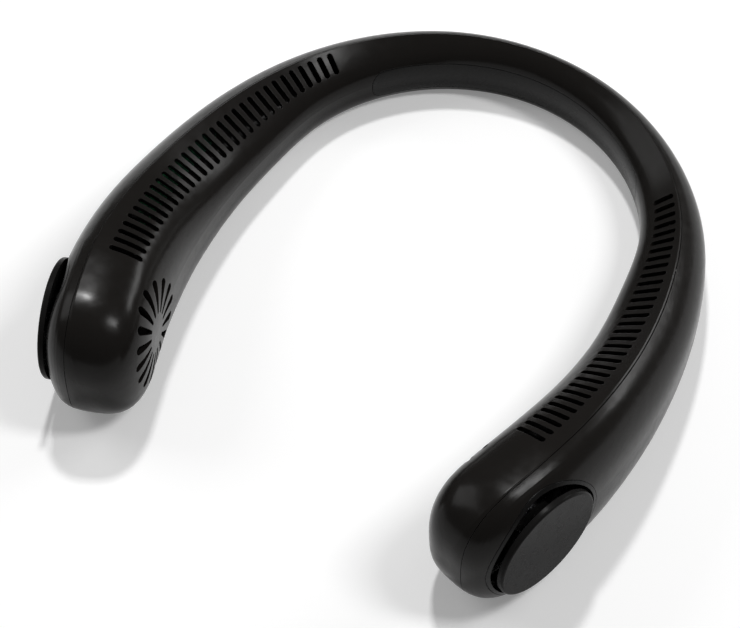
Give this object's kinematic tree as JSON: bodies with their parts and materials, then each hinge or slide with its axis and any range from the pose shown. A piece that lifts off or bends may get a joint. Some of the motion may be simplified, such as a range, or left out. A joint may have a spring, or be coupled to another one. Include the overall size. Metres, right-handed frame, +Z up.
{
  "type": "electric neck fan",
  "caption": "Bladeless horseshoe neck fan with a blower in each end pod, side intake discs, inner grilles and rows of air slots along both arms.",
  "frame": {"origin": "on the surface that the fan lies on, under the middle of its bounding box", "axes": "+Z up out of that surface, +Y towards the nape at the closed rear, -Y towards the open front, +X to the right as seen from in front of the open end"},
  "size_m": [0.1886, 0.194, 0.0479],
  "materials": {
    "housing": "satin moulded black plastic with a fine even grain",
    "nape_pad": "softer satin black plastic",
    "intake_trim": "semi-gloss black plastic",
    "disc_face": "satin black plastic",
    "wheel_plastic": "semi-gloss dark grey plastic",
    "baffle_plastic": "dark grey plastic",
    "screw_steel": "blackened steel",
    "stator_steel": "stacked electrical steel",
    "rotor_steel": "drawn and plated steel",
    "shaft_steel": "ground steel",
    "magnet": "dark bonded magnet",
    "winding": "enamelled copper wire",
    "bush_bronze": "sintered bronze",
    "board": "green lacquered board",
    "cell_wrap": "laminated foil pouch",
    "switch_body": "black moulded switch",
    "button_plastic": "satin black plastic",
    "socket_shell": "plated steel shell",
    "light_pipe": "frosted clear plastic"
  },
  "bodies": {
    "housing": {"outer_shell": "housing", "inner_shell": "housing", "nape_cover": "nape_pad", "housing_screws": "screw_steel", "left_intake_ring": "intake_trim", "left_intake_disc": "disc_face", "left_disc_screws": "screw_steel", "left_motor_board": "board", "left_stator": "stator_steel", "left_coils": "winding", "left_bearing_bush": "bush_bronze", "left_battery_cell": "cell_wrap", "left_duct_baffle": "baffle_plastic", "right_intake_ring": "intake_trim", "right_intake_disc": "disc_face", "right_disc_screws": "screw_steel", "right_motor_board": "board", "right_stator": "stator_steel", "right_coils": "winding", "right_bearing_bush": "bush_bronze", "right_battery_cell": "cell_wrap", "right_duct_baffle": "baffle_plastic", "control_board": "board", "board_screws": "screw_steel", "tact_switch": "switch_body", "usb_socket": "socket_shell", "light_pipe": "light_pipe"},
    "left_blower_wheel": {"left_motor_shaft": "shaft_steel", "left_rotor_cup": "rotor_steel", "left_ring_magnet": "magnet", "left_impeller": "wheel_plastic"},
    "right_blower_wheel": {"right_motor_shaft": "shaft_steel", "right_rotor_cup": "rotor_steel", "right_ring_magnet": "magnet", "right_impeller": "wheel_plastic"},
    "power_button": {"power_button": "button_plastic"}
  },
  "joints": [
    {"name": "left_blower_spin", "type": "hinge", "parent": "housing", "child": "left_blower_wheel", "pos_m": [-0.07029, -0.07127, 0.0239], "axis": [-0.9515, -0.3076, 0], "continuous": true},
    {"name": "right_blower_spin", "type": "hinge", "parent": "housing", "child": "right_blower_wheel", "pos_m": [0.07029, -0.07127, 0.0239], "axis": [0.9515, -0.3076, 0], "continuous": true},
    {"name": "power_button_press", "type": "slide", "parent": "housing", "child": "power_button", "axis": [0.9989, -0.0461, 0], "range_m": [0, 0.0005], "stiffness_N_per_m": 400}
  ]
}
